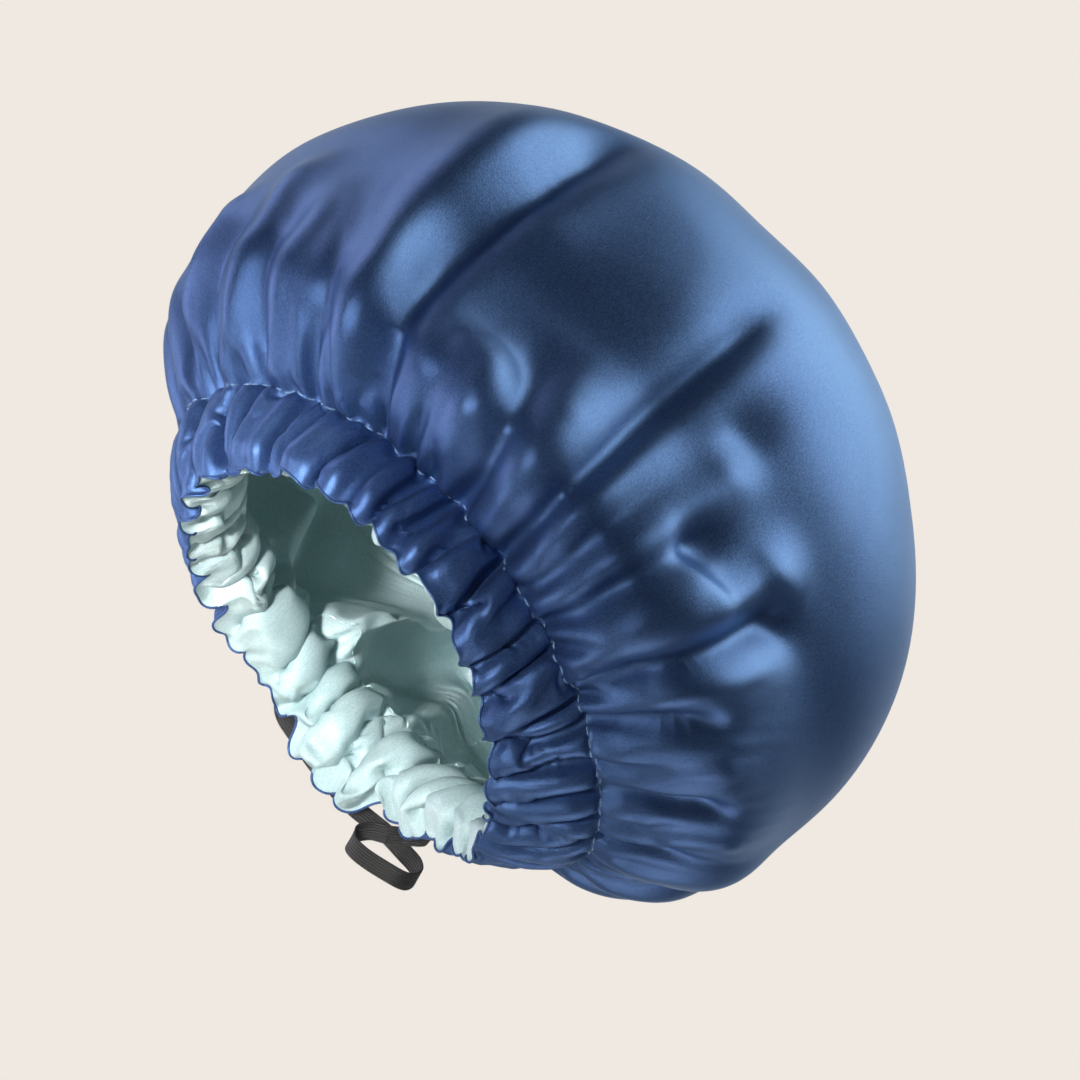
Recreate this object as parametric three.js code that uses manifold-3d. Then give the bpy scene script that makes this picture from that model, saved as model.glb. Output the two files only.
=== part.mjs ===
// A reversible hair bonnet, in millimetres: two discs of satin, one inside the other, gathered on elastic.
// A row of stitches turns the rim into a band. The elastic lies in the band, comes out through two slots at
// the nape, and hangs there in a curl that the wearer pulls to tighten the bonnet.
//
// Z is the axis of the head opening with the crown up, +Y the nape and +X the wearer's left.
// The origin is the middle of the head opening, level with the row of stitches.
import * as THREE from "three";
import { mergeVertices } from "three/addons/utils/BufferGeometryUtils.js";
import Module from "manifold-3d";

// Crown, puffed out as over a head of hair
const crownRadius = 140;
const crownTopHeight = 116;
const crownCentreHeight = 71.5;
const crownLeanBack = 30;
const crownLeanSide = 11;
const drawInHeight = 28;

// Band from the row of stitches to the edge: an oval like a head, longer from brow to nape
const rowHalfWidth = 95;
const rowHalfLength = 88;
const rowDip = 5;
const bandDepth = 26;
const edgeHalfWidth = 71;
const edgeHalfLength = 94;

// Cloth, elastic and thread
const clothThickness = 0.7;
const clearance = 0.3;
const pocketEase = 0.4;
const elasticWidth = 6.35;
const elasticThickness = 1;
const threadThickness = 0.45;
const seamThreadThickness = 0.5;
const stitchesPerFacet = 2;
const dipShare = 0.5;

// Main folds
const gatherCount = 13;
const facetsPerGather = 4;
const gatherHeight = 7;
const gatherReach = 75;
const rowWaveHeight = 1.5;
const bandWaveHeight = 2.6;
const frillHeight = 4.4;
const gatherHeightShares = [1, 0.7, 0.9, 0.6, 1, 0.8, 0.65, 0.95, 0.75, 1, 0.6, 0.85, 0.9];
const napeCalmAngle = 86.5;
const napeCalmSpreadAngle = 34;
const napeCalmShare = 0.75;

// Rows of the cloth as shares of the way from the crown's top to the row, then from the row to the edge
const crownRowShares = [0.16, 0.32, 0.47, 0.61, 0.74, 0.85, 0.935, 1];
const bandRowShares = [0.4, 0.84, 1];

// Folds that run up from the row over the crown: angle at the row and at the end, arc shares where they
// start and end, half width in degrees, and height as a share of foldHeight, negative for a valley
const foldHeight = 8;
const foldRiseShare = 0.4;
const foldFallShare = 0.6;
const foldShares = [
  [242, 246, 1, 0.34, 12, 1],
  [256, 254, 1, 0.38, 10, -1],
  [270, 265, 1, 0.66, 11, 0.5],
  [280, 278, 1, 0.5, 10, 0.6],
  [291, 289, 1, 0.44, 10, -0.9],
  [301, 300, 1, 0.58, 10, 0.7],
  [311, 312, 1, 0.62, 10, -0.5],
  [318, 318, 1, 0.6, 10, 0.5],
  [214, 221, 1, 0.68, 10, 0.6],
  [228, 231, 1, 0.72, 10, -0.5],
  [195, 207, 1, 0.76, 10, 0.5],
  [338, 340, 1, 0.84, 10, 0.4],
  [120, 122, 1, 0.58, 12, -0.6],
  [60, 62, 1, 0.6, 12, -0.6],
  [20, 18, 1, 0.58, 12, 0.6],
  [160, 156, 1, 0.56, 12, 0.6],
];

// Slots and the bound edge round each, with places counted in facets of the band
const rightSlotFacet = 8;
const leftSlotFacet = 16;
const slotFacets = 1;
const slotWidth = 8;
const slotHeight = 8;
const bindingWidth = 0.8;
const bindingThickness = 0.6;

// Overlapping join of the elastic, at the brow
const joinFacet = 38;
const joinHalfFacets = 1;
const joinStitchCount = 6;
const joinStitchLength = 3;
const joinPitch = 1.5;

// Strap outside the band: a side view frame at the nape, its crossing, and the sizes of its curl
const strapAngle = 75;
const strapStandOff = 3;
const standOffReachShare = 1.5;
const crossingOut = 94;
const crossingDrop = 24;
const curlLength = 27;
const curlDepth = 12;
const curlDrop = 14;
const strapTiltOutShare = 0.5;
const strapTiltAlongShare = 0.17;
const strapStep = 1.6;
const strapDivisions = 2000;

// The strap runs round the nape from the left slot at one radius: angles in degrees, and how far it has come
// down to the crossing
const runRadius = 97;
const runAngles = [106, 100, 94, 88, 82];
const runDropShares = [0.8, 0.88, 0.94, 0.98, 1];

// Points of the strap's curl and of its last stretch up to the right slot, in order: place along the nape as
// a share of curlLength, outwards as a share of curlDepth and downwards as a share of curlDrop, all from the
// crossing
const curlShares = [
  [-0.14, 0.24, -0.02],
  [0.16, 0.32, -0.06],
  [0.46, 0.5, -0.04],
  [0.74, 0.42, 0.06],
  [0.94, 0.12, 0.34],
  [0.96, -0.25, 0.72],
  [0.7, -0.47, 0.93],
  [0.33, -0.43, 1],
  [0.07, -0.28, 0.9],
  [-0.03, -0.08, 0.6],
  [0.04, 0, 0.26],
];
const rightRunShares = [
  [0.25, 0.02, 0.02],
  [0.45, 0.08, -0.3],
  [0.66, 0.04, -0.58],
];
const leadLength = 5;

// Finishes, as colour, roughness and metalness
const satinBlue = { color: 0x2c4a94, roughness: 0.35, metalness: 0 };
const satinMint = { color: 0xa9d8cf, roughness: 0.4, metalness: 0 };
const elasticBlack = { color: 0x1e1e1d, roughness: 0.8, metalness: 0 };
const threadBlue = { color: 0x7fa6cf, roughness: 0.7, metalness: 0 };
const threadMint = { color: 0xb9dcd8, roughness: 0.7, metalness: 0 };

const wasm = await Module();
wasm.setup();

const bonnet = new THREE.Group();
const facets = gatherCount * facetsPerGather;
const rowIndex = crownRowShares.length;
const pocketTop = rowIndex + 1;
const pocketBottom = rowIndex + 2;
const edgeIndex = rowIndex + 3;
const rad = THREE.MathUtils.degToRad;
const clamp = THREE.MathUtils.clamp;
const smooth = THREE.MathUtils.smoothstep;

function addMesh(name, geometry, finish) {
  const mesh = new THREE.Mesh(geometry, new THREE.MeshStandardMaterial(finish));
  mesh.name = name;
  bonnet.add(mesh);
  return mesh;
}

// A closed geometry from points and triangles
function closedGeometry(points, triangles) {
  const geometry = new THREE.BufferGeometry().setFromPoints(points);
  geometry.setIndex(triangles);
  geometry.computeVertexNormals();
  return geometry;
}

function toManifold(geometry) {
  const plain = geometry.clone();
  plain.deleteAttribute("normal");
  plain.deleteAttribute("uv");
  const merged = mergeVertices(plain);
  return new wasm.Manifold(
    new wasm.Mesh({
      numProp: 3,
      vertProperties: new Float32Array(merged.attributes.position.array),
      triVerts: new Uint32Array(merged.index.array),
    }),
  );
}

function cutAway(geometry, cutters) {
  let solid = toManifold(geometry);
  for (const cutter of cutters) solid = solid.subtract(toManifold(cutter));
  const mesh = solid.getMesh();
  const result = new THREE.BufferGeometry();
  result.setAttribute("position", new THREE.BufferAttribute(new Float32Array(mesh.vertProperties), 3));
  result.setIndex(new THREE.BufferAttribute(new Uint32Array(mesh.triVerts), 1));
  result.computeVertexNormals();
  return result;
}

// Shape of the cloth

const ovalRadius = (angle, halfX, halfY) => 1 / Math.hypot(Math.cos(angle) / halfX, Math.sin(angle) / halfY);
const rowHeight = (angle) => -rowDip * Math.cos(2 * angle);

// Distance between two angles in degrees, the short way round
function angleBetween(a, b) {
  return Math.abs(((a - b + 540) % 360) - 180);
}

// Height of the photographed folds at an angle in degrees and an arc share of the crown
function foldAt(degrees, share) {
  let height = 0;
  for (const [rowAngle, endAngle, startShare, endShare, halfWidth, heightShare] of foldShares) {
    const along = (startShare - share) / (startShare - endShare);
    if (along < 0 || along > 1) continue;
    const middle = rowAngle + (endAngle - rowAngle) * along;
    const across = angleBetween(degrees, middle) / halfWidth;
    const taper = smooth(along, 0, foldRiseShare) * (1 - smooth(along, foldFallShare, 1));
    height += foldHeight * heightShare * taper * (1 - smooth(across, 0, 1));
  }
  return height;
}

// Gathers are waves round the opening, each with its own height, and calmer at the nape where the strap runs
function waveAt(facet) {
  const gather = Math.round(facet / facetsPerGather) % gatherCount;
  const degrees = (facet / facets) * 360;
  const fromNape = angleBetween(degrees, napeCalmAngle) / napeCalmSpreadAngle;
  const calm = 1 - napeCalmShare * Math.exp(-(fromNape ** 2));
  return Math.cos((2 * Math.PI * facet) / facetsPerGather) * gatherHeightShares[gather] * calm;
}

function crownPoint(facet, share) {
  const angle = (2 * Math.PI * facet) / facets;
  const lowest = Math.asin(crownCentreHeight / crownTopHeight);
  const rise = Math.PI / 2 - share * (Math.PI / 2 + lowest);
  const height = crownCentreHeight + crownTopHeight * Math.sin(rise);
  const drawIn = clamp(1 - height / drawInHeight, 0, 1) ** 2;
  const lean = smooth(height, 0, crownCentreHeight);
  const atRow = ovalRadius(angle, rowHalfWidth, rowHalfLength);
  const radius = crownRadius * Math.cos(rise) - (crownRadius * Math.cos(lowest) - atRow) * drawIn;
  const nearRow = clamp(1 - height / gatherReach, 0, 1);
  const gather = rowWaveHeight + (gatherHeight - rowWaveHeight) * Math.sin(Math.PI * Math.sqrt(nearRow));
  const lift = waveAt(facet) * gather * Math.sqrt(nearRow) + foldAt((facet / facets) * 360, share);
  const out = new THREE.Vector3(
    Math.cos(angle) * Math.cos(rise),
    Math.sin(angle) * Math.cos(rise),
    Math.max(0, Math.sin(rise)),
  ).normalize();
  return new THREE.Vector3(
    -crownLeanSide * lean + radius * Math.cos(angle),
    crownLeanBack * lean + radius * Math.sin(angle),
    height + rowHeight(angle) * drawIn,
  ).addScaledVector(out, lift);
}

function bandPoint(facet, share) {
  const angle = (2 * Math.PI * facet) / facets;
  const atRow = ovalRadius(angle, rowHalfWidth, rowHalfLength);
  const atEdge = ovalRadius(angle, edgeHalfWidth, edgeHalfLength);
  const wave = share === 1 ? frillHeight : share === 0 ? rowWaveHeight : bandWaveHeight;
  const radius = atRow + (atEdge - atRow) * share + waveAt(facet) * wave;
  return new THREE.Vector3(
    radius * Math.cos(angle),
    radius * Math.sin(angle),
    rowHeight(angle) - bandDepth * share,
  );
}

// Outer face of the outer disc, row by row from the crown's top, and the normal at each point
const clothTop = crownPoint(0, 0);
const clothRows = [
  ...crownRowShares.map((share) => (facet) => crownPoint(facet, share)),
  ...bandRowShares.map((share) => (facet) => bandPoint(facet, share)),
].map((rowPoint) => Array.from({ length: facets }, (_, facet) => rowPoint(facet)));
clothRows.unshift(Array.from({ length: facets }, () => clothTop.clone()));

const wrap = (facet) => ((facet % facets) + facets) % facets;

// The normal halves the angles between the faces that meet at the point
function clothNormal(row, facet) {
  if (row === 0) return new THREE.Vector3(0, 0, 1);
  const here = clothRows[row][wrap(facet)];
  const step = (from, to) => to.clone().sub(from).normalize();
  const round = step(here, clothRows[row][wrap(facet + 1)]).add(step(clothRows[row][wrap(facet - 1)], here));
  const down = step(clothRows[row - 1][wrap(facet)], here);
  if (row < edgeIndex) down.add(step(here, clothRows[row + 1][wrap(facet)]));
  return down.cross(round).normalize();
}
const clothNormals = clothRows.map((points, row) => points.map((_, facet) => clothNormal(row, facet)));

// Room between the two discs: closed on the row, a pocket for the elastic, and room for the seam at the edge.
// The pocket is deeper where the ends of the elastic overlap.
const pocketRoom = elasticThickness + 2 * pocketEase;
const seamRoom = seamThreadThickness + 2 * clearance;
const joinRoom = elasticThickness + threadThickness + 2 * clearance;
const atJoin = (facet) => (Math.abs(wrap(facet) - joinFacet) <= joinHalfFacets ? 1 : 0);

function roomBetween(row, facet) {
  if (row === edgeIndex) return seamRoom;
  if (row === pocketTop || row === pocketBottom) return pocketRoom + atJoin(facet) * joinRoom;
  return clearance;
}

// A point at a depth below the outer face of the outer disc
function atDepth(row, facet, depth) {
  return clothRows[row][wrap(facet)].clone().addScaledVector(clothNormals[row][wrap(facet)], -depth);
}

// A disc of cloth between two depths, each a function of row and facet
function disc(outerDepth, innerDepth) {
  const points = [];
  const triangles = [];
  const at = (side, row, facet) =>
    side * (1 + edgeIndex * facets) + (row === 0 ? 0 : 1 + (row - 1) * facets + wrap(facet));
  for (const depth of [outerDepth, innerDepth]) {
    points.push(atDepth(0, 0, depth(0, 0)));
    for (let row = 1; row <= edgeIndex; row++)
      for (let facet = 0; facet < facets; facet++) points.push(atDepth(row, facet, depth(row, facet)));
  }
  const face = (side, a, b, c) => (side === 0 ? triangles.push(a, b, c) : triangles.push(a, c, b));
  for (const side of [0, 1])
    for (let facet = 0; facet < facets; facet++) {
      face(side, at(side, 0, 0), at(side, 1, facet), at(side, 1, facet + 1));
      for (let row = 1; row < edgeIndex; row++) {
        face(side, at(side, row, facet), at(side, row + 1, facet), at(side, row + 1, facet + 1));
        face(side, at(side, row, facet), at(side, row + 1, facet + 1), at(side, row, facet + 1));
      }
    }
  for (let facet = 0; facet < facets; facet++) {
    const [a, b] = [at(0, edgeIndex, facet), at(0, edgeIndex, facet + 1)];
    const [c, d] = [at(1, edgeIndex, facet), at(1, edgeIndex, facet + 1)];
    triangles.push(a, c, d, a, d, b);
  }
  return closedGeometry(points, triangles);
}

// Local axes of one facet of the band between the top and the bottom of the pocket, and how far its corners
// stand proud of its middle
function bandFacet(facet) {
  const sides = [facet, wrap(facet + 1)];
  const corners = [pocketTop, pocketBottom].flatMap((row) => sides.map((side) => clothRows[row][side]));
  const [topStart, topEnd, bottomStart, bottomEnd] = corners;
  const centre = new THREE.Vector3();
  for (const corner of corners) centre.addScaledVector(corner, 1 / corners.length);
  const round = topEnd.clone().add(bottomEnd).sub(topStart).sub(bottomStart).normalize();
  const up = topStart.clone().add(topEnd).sub(bottomStart).sub(bottomEnd).normalize();
  const out = round.clone().cross(up).normalize();
  up.copy(out).cross(round);
  const proud = Math.max(...corners.map((corner) => corner.clone().sub(centre).dot(out)));
  return { centre, round, up, out, proud };
}

// A point of a band facet: along the band, up and out from the middle of its outer face
function facetPoint(frame, round, up, out) {
  return frame.centre
    .clone()
    .addScaledVector(frame.round, round)
    .addScaledVector(frame.up, up)
    .addScaledVector(frame.out, out);
}

// A box with its middle and axes given
function box(centre, axisX, axisY, axisZ, size) {
  const place = new THREE.Matrix4().makeBasis(axisX, axisY, axisZ).setPosition(centre);
  return new THREE.BoxGeometry(size.x, size.y, size.z).applyMatrix4(place);
}

// A flat band with a rectangular section along a list of frames, each a centre, a direction across its width
// and a direction through its thickness. A closed ring joins its last frame to its first. Width and thickness
// are each one size, or a list with a size for each frame.
function flatBand(frames, width, thickness, closed = false) {
  const sizeAt = (size, i) => (Array.isArray(size) ? size[i] : size);
  const points = frames.flatMap(({ centre, across, through }, i) =>
    [[1, 1], [-1, 1], [-1, -1], [1, -1]].map(([side, face]) =>
      centre
        .clone()
        .addScaledVector(across, (side * sizeAt(width, i)) / 2)
        .addScaledVector(through, (face * sizeAt(thickness, i)) / 2),
    ),
  );
  const sides = 4;
  const triangles = [];
  const steps = closed ? frames.length : frames.length - 1;
  for (let step = 0; step < steps; step++)
    for (let side = 0; side < sides; side++) {
      const next = ((step + 1) % frames.length) * sides;
      const [a, b] = [step * sides + side, step * sides + ((side + 1) % sides)];
      const [c, d] = [next + side, next + ((side + 1) % sides)];
      if (side < 2) triangles.push(a, c, d, a, d, b);
      else triangles.push(a, c, b, b, c, d);
    }
  if (!closed) {
    const last = points.length - sides;
    triangles.push(0, 1, 2, 0, 2, 3, last, last + 2, last + 1, last, last + 3, last + 2);
  }
  const geometry = closedGeometry(points, triangles);
  return toManifold(geometry).volume() < 0 ? turnedOut(geometry) : geometry;
}

// The same surface with its faces turned round
function turnedOut(geometry) {
  const index = geometry.index.array;
  for (let i = 0; i < index.length; i += 3) [index[i + 1], index[i + 2]] = [index[i + 2], index[i + 1]];
  geometry.computeVertexNormals();
  return geometry;
}

// The two discs of satin

function addDiscs() {
  const slotCutters = [leftSlotFacet, rightSlotFacet].map((facet) => {
    const frame = bandFacet(facet);
    const size = new THREE.Vector3(slotWidth, slotHeight, 2 * pocketRoom);
    return box(frame.centre, frame.round, frame.up, frame.out, size);
  });
  const shell = disc(
    () => 0,
    () => clothThickness,
  );
  addMesh("outer_shell", cutAway(shell, slotCutters), satinBlue);
  const lining = disc(
    (row, facet) => clothThickness + roomBetween(row, facet),
    (row, facet) => 2 * clothThickness + roomBetween(row, facet),
  );
  addMesh("lining", lining, satinMint);
}

// Elastic in the pocket between the discs

const pocketDepth = clothThickness + pocketRoom / 2;

function pocketFrame(facet, depth) {
  const top = atDepth(pocketTop, facet, depth);
  const bottom = atDepth(pocketBottom, facet, depth);
  const before = atDepth(pocketTop, facet - 1, depth);
  const after = atDepth(pocketTop, facet + 1, depth);
  const across = top.clone().sub(bottom).normalize();
  const through = after.clone().sub(before).cross(across).normalize();
  return { centre: top.add(bottom).multiplyScalar(0.5), across, through };
}

// The left half lies outside the right half where they overlap, with the joining stitches on it
const joinStitchDepth = clothThickness + pocketEase + threadThickness / 2;
const leftHalfDepth = joinStitchDepth + threadThickness / 2 + clearance + elasticThickness / 2;
const rightHalfDepth = leftHalfDepth + elasticThickness + clearance;

function addCasingElastic() {
  const half = (first, last, joinDepth) => {
    const frames = [];
    for (let facet = first; facet <= last; facet++)
      frames.push(pocketFrame(facet, atJoin(facet) ? joinDepth : pocketDepth));
    return flatBand(frames, elasticWidth, elasticThickness);
  };
  const left = half(leftSlotFacet + slotFacets, joinFacet + joinHalfFacets, leftHalfDepth);
  const right = half(joinFacet - joinHalfFacets, facets + rightSlotFacet, rightHalfDepth);
  addMesh("casing_elastic_left", left, elasticBlack);
  addMesh("casing_elastic_right", right, elasticBlack);
}

// One zigzag thread that holds the two ends of the elastic together
function addJoinStitches() {
  const start = pocketFrame(joinFacet, joinStitchDepth);
  const end = pocketFrame(joinFacet + 1, joinStitchDepth);
  const middle = start.centre.clone().add(end.centre).multiplyScalar(0.5);
  const along = end.centre.clone().sub(start.centre).normalize();
  const out = along.clone().cross(start.across.clone().add(end.across)).normalize();
  const up = out.clone().cross(along);
  const frames = Array.from({ length: joinStitchCount + 1 }, (_, i) => ({
    centre: middle
      .clone()
      .addScaledVector(along, (i - joinStitchCount / 2) * joinPitch)
      .addScaledVector(up, (i % 2 === 0 ? 1 : -1) * (joinStitchLength / 2)),
    across: up,
    through: out,
  }));
  addMesh("elastic_join_stitches", flatBand(frames, 2 * threadThickness, threadThickness), threadMint);
}

// Stitches of the row, and the seam round the edge

// One thread round the row at a depth, full where a stitch lies on the cloth and thin where it dips to its
// hole, with a dip on each corner of the cloth
function rowThread(depth) {
  const frames = [];
  const sizes = [];
  for (let facet = 0; facet < facets; facet++)
    for (let i = 0; i < 2 * stitchesPerFacet; i++) {
      const share = i / (2 * stitchesPerFacet);
      const before = atDepth(rowIndex, i === 0 ? facet - 1 : facet, depth);
      const start = atDepth(rowIndex, facet, depth);
      const end = atDepth(rowIndex, facet + 1, depth);
      const along = end.clone().sub(before).normalize();
      const out = clothNormals[rowIndex][facet].clone().lerp(clothNormals[rowIndex][wrap(facet + 1)], share);
      const across = out.cross(along).normalize();
      frames.push({ centre: start.lerp(end, share), across, through: along.clone().cross(across) });
      sizes.push(i % 2 === 0 ? threadThickness * dipShare : threadThickness);
    }
  return flatBand(frames, sizes, sizes, true);
}

function addThreads() {
  const seat = clearance + threadThickness / 2;
  addMesh("row_thread_outer", rowThread(-seat), threadBlue);
  addMesh("row_thread_inner", rowThread(2 * clothThickness + clearance + seat), threadMint);
  const seamShare = 0.9;
  const frames = Array.from({ length: facets }, (_, facet) => {
    const upper = atDepth(pocketBottom, facet, clothThickness + roomBetween(pocketBottom, facet) / 2);
    const lower = atDepth(edgeIndex, facet, clothThickness + seamRoom / 2);
    const across = upper.clone().sub(lower).normalize();
    return { centre: upper.lerp(lower, seamShare), across, through: clothNormals[edgeIndex][facet] };
  });
  const seam = flatBand(frames, seamThreadThickness, seamThreadThickness, true);
  addMesh("edge_seam_thread", seam, threadMint);
}

// A stitched rim round a slot, proud of the cloth
function addBinding(name, facet) {
  const frame = bandFacet(facet);
  const centre = facetPoint(frame, 0, 0, frame.proud + clearance + bindingThickness / 2);
  const rim = (border, depth) => {
    const size = new THREE.Vector3(slotWidth + 2 * border, slotHeight + 2 * border, depth);
    return box(centre, frame.round, frame.up, frame.out, size);
  };
  const outer = rim(clearance + bindingWidth, bindingThickness);
  addMesh(name, cutAway(outer, [rim(clearance, 2 * bindingThickness)]), threadBlue);
}

// The strap outside the band

const strapOut = new THREE.Vector3(Math.cos(rad(strapAngle)), Math.sin(rad(strapAngle)), 0);
const strapAlong = new THREE.Vector3(strapOut.y, -strapOut.x, 0);
const strapCurlAcross = new THREE.Vector3(0, 0, -1)
  .addScaledVector(strapOut, strapTiltOutShare)
  .addScaledVector(strapAlong, strapTiltAlongShare)
  .normalize();

function runPoint(degrees, i) {
  const height = -crossingDrop * runDropShares[i];
  return new THREE.Vector3(runRadius * Math.cos(rad(degrees)), runRadius * Math.sin(rad(degrees)), height);
}

function strapPoint([alongShare, outShare, downShare]) {
  return new THREE.Vector3(0, 0, -crossingDrop - downShare * curlDrop)
    .addScaledVector(strapOut, crossingOut + outShare * curlDepth)
    .addScaledVector(strapAlong, alongShare * curlLength);
}

// Through a slot the strap climbs from the pocket and over the slot's binding
function slotPoints(facet, towards) {
  const frame = bandFacet(facet);
  const inside = -pocketDepth;
  const outside = frame.proud + bindingThickness + 2 * clearance + elasticThickness / 2;
  const reach = slotWidth / 2;
  return [
    facetPoint(frame, reach * towards, 0, inside),
    facetPoint(frame, 0, 0, (inside + outside) / 2),
    facetPoint(frame, -reach * towards, 0, outside),
    facetPoint(frame, -standOffReachShare * reach * towards, 0, outside + strapStandOff / 2),
  ];
}

function strapFrames() {
  const start = pocketFrame(leftSlotFacet + slotFacets, pocketDepth);
  const end = pocketFrame(rightSlotFacet, pocketDepth);
  const points = [
    start.centre,
    ...slotPoints(leftSlotFacet, 1),
    ...runAngles.map(runPoint),
    ...[...curlShares, ...rightRunShares].map(strapPoint),
    ...slotPoints(rightSlotFacet, -1).reverse(),
    end.centre,
  ];
  const curve = new THREE.CatmullRomCurve3(points, false, "centripetal");
  curve.arcLengthDivisions = strapDivisions;
  return { curve, length: curve.getLength(), start, end };
}

const strap = strapFrames();

// The strap's frame at a distance from its left end: level at the slots and tilted in the curl. It is square
// to its path except at its two ends, which face the ends of the casing elastic, and at the two ends of the
// curl, which are square to the line that the curl swings about
function strapFrameAt(distance, curlStart, curlEnd) {
  const share = distance / strap.length;
  const centre = strap.curve.getPointAt(share);
  const tangent = strap.curve.getTangentAt(share);
  const fromCut = Math.min(Math.abs(distance - curlStart), Math.abs(distance - curlEnd));
  tangent.lerp(strapAlong, 1 - smooth(fromCut, clearance, elasticWidth)).normalize();
  const ramp = curlStart / 2;
  const tiltUp = smooth(distance, curlStart - ramp, curlStart);
  const tiltBack = 1 - smooth(distance, curlEnd, curlEnd + ramp / 2);
  const slotAcross = distance < (curlStart + curlEnd) / 2 ? strap.start.across : strap.end.across;
  const across = slotAcross.clone().negate().lerp(strapCurlAcross, tiltUp * tiltBack);
  const squared = Math.min(1, distance / elasticWidth, (strap.length - distance) / elasticWidth);
  across.addScaledVector(tangent, -across.dot(tangent) * squared).normalize();
  return { centre, across, through: tangent.clone().cross(across).normalize() };
}

// Distance along the strap of the point nearest to a given one
function distanceTo(point) {
  let best = 0;
  let least = Infinity;
  for (let i = 0; i <= strapDivisions; i++) {
    const gap = strap.curve.getPointAt(i / strapDivisions).distanceTo(point);
    if (gap < least) [least, best] = [gap, i / strapDivisions];
  }
  return best * strap.length;
}

function addStrap() {
  const curlStart = distanceTo(strapPoint(curlShares[0]));
  const curlEnd = distanceTo(strapPoint(rightRunShares[0]));
  const stretch = (from, to) => {
    const [first, last] = [from + clearance / 2, to - clearance / 2];
    const steps = Math.max(1, Math.ceil((last - first) / strapStep));
    const frames = Array.from({ length: steps + 1 }, (_, i) =>
      strapFrameAt(first + ((last - first) * i) / steps, curlStart, curlEnd),
    );
    return flatBand(frames, elasticWidth, elasticThickness);
  };
  const cuts = [clearance / 2, curlStart - leadLength, curlStart, curlEnd, curlEnd + leadLength];
  cuts.push(strap.length - clearance / 2);
  const names = ["strap_run_left", "strap_lead_left", "strap_loop", "strap_lead_right", "strap_run_right"];
  names.forEach((name, i) => addMesh(name, stretch(cuts[i], cuts[i + 1]), elasticBlack));
}

addDiscs();
addCasingElastic();
addJoinStitches();
addThreads();
addBinding("slot_binding_left", leftSlotFacet);
addBinding("slot_binding_right", rightSlotFacet);
addStrap();

export default bonnet;
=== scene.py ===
# Dresses the hair bonnet: a puffed satin crown gathered into a scrunched band, its mint lining, the ribbed
# elastic with its curl at the nape, the stitches, and a plain studio. Everything is in metres.
import math

import bpy
import numpy as np
from mathutils import Matrix, Vector


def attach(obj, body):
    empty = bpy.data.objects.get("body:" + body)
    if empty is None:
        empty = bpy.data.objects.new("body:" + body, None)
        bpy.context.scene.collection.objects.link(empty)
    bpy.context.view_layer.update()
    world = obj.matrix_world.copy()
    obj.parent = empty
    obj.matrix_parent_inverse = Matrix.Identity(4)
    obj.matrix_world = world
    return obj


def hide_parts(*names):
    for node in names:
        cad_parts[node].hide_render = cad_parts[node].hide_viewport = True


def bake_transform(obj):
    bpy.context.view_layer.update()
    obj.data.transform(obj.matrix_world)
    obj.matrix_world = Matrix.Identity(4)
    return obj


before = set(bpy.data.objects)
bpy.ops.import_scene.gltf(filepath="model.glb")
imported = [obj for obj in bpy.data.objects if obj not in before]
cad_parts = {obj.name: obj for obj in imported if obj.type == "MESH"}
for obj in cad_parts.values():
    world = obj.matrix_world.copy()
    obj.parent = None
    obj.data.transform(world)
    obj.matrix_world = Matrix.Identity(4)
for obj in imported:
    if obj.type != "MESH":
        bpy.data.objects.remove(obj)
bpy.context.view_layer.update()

MM = 0.001

# Crown, puffed out as over a head of hair
crown_radius = 140 * MM
crown_top_height = 116 * MM
crown_centre_height = 71.5 * MM
crown_lean_back = 30 * MM
crown_lean_side = 11 * MM
draw_in_height = 28 * MM

# Band from the row of stitches to the edge. At the nape it hangs lower, between angles in degrees
row_half_width = 95 * MM
row_half_length = 88 * MM
row_dip = 5 * MM
band_depth = 26 * MM
edge_half_width = 71 * MM
edge_half_length = 94 * MM
nape_fall = 7 * MM
nape_fall_starts = (75, 83)
nape_fall_ends = (95, 104)

# Cloth: diameter of the round cut, how full it is gathered in its UV map, and counts of gathers
cloth_fullness = 3.2
gather_count = 36
fine_gather_count = 34
lining_gather_count = 24

# Grid of the cloth: rows on the crown lie closer together by the row of stitches
cloth_columns = 624
cloth_crown_rows = 100
cloth_band_rows = 38
row_bunching = 1.7
top_share = 0.012

# Settling of the cloth: how many rounds, the speed that it keeps, how firmly its threads pull, the least
# distance of points that are two and four threads apart, and how stiff each layer is
settle_rounds = 320
kept_speed = 0.88
thread_pull = 0.9
slant_pull = 0.06
fall_pull = 0.05
over_two_threads = 1.94
over_four_threads = 3.7
straight_fall = 0.985
least_gap_share = 0.1
outer_stiffness = 0.1
lining_stiffness = 0.12

# Elastic and thread
elastic_width = 6.35 * MM
elastic_thickness = 1 * MM
elastic_place = 0.46
elastic_from_angle = 117
elastic_to_angle = 360 + 56
rib_count = 7
rib_height = 0.24 * MM
thread_radius = 0.26 * MM
stitch_pitch = 4.2 * MM
stitch_sides = 6
stitch_rings = 7
edge_roll_radius = 0.45 * MM
binding_thread_radius = 0.2 * MM
binding_pitch = 0.85 * MM

# Slots of the strap: from and to an angle round the band, and from and to a share of its depth
left_slot = (110.8, 117.7, 0.47, 0.77)
right_slot = (55.4, 62.3, 0.32, 0.62)
slot_rise = 0.35 * MM

# Camera at the photograph's angle: the picture's scale and roll were fitted to the outline and the row
camera_distance = 1.3
camera_azimuth = 15
camera_elevation = -22.35
camera_roll = 50.43
camera_right = 44.29 * MM
camera_up = 24.84 * MM
camera_lens = 135.4
camera_sensor = 36

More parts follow.
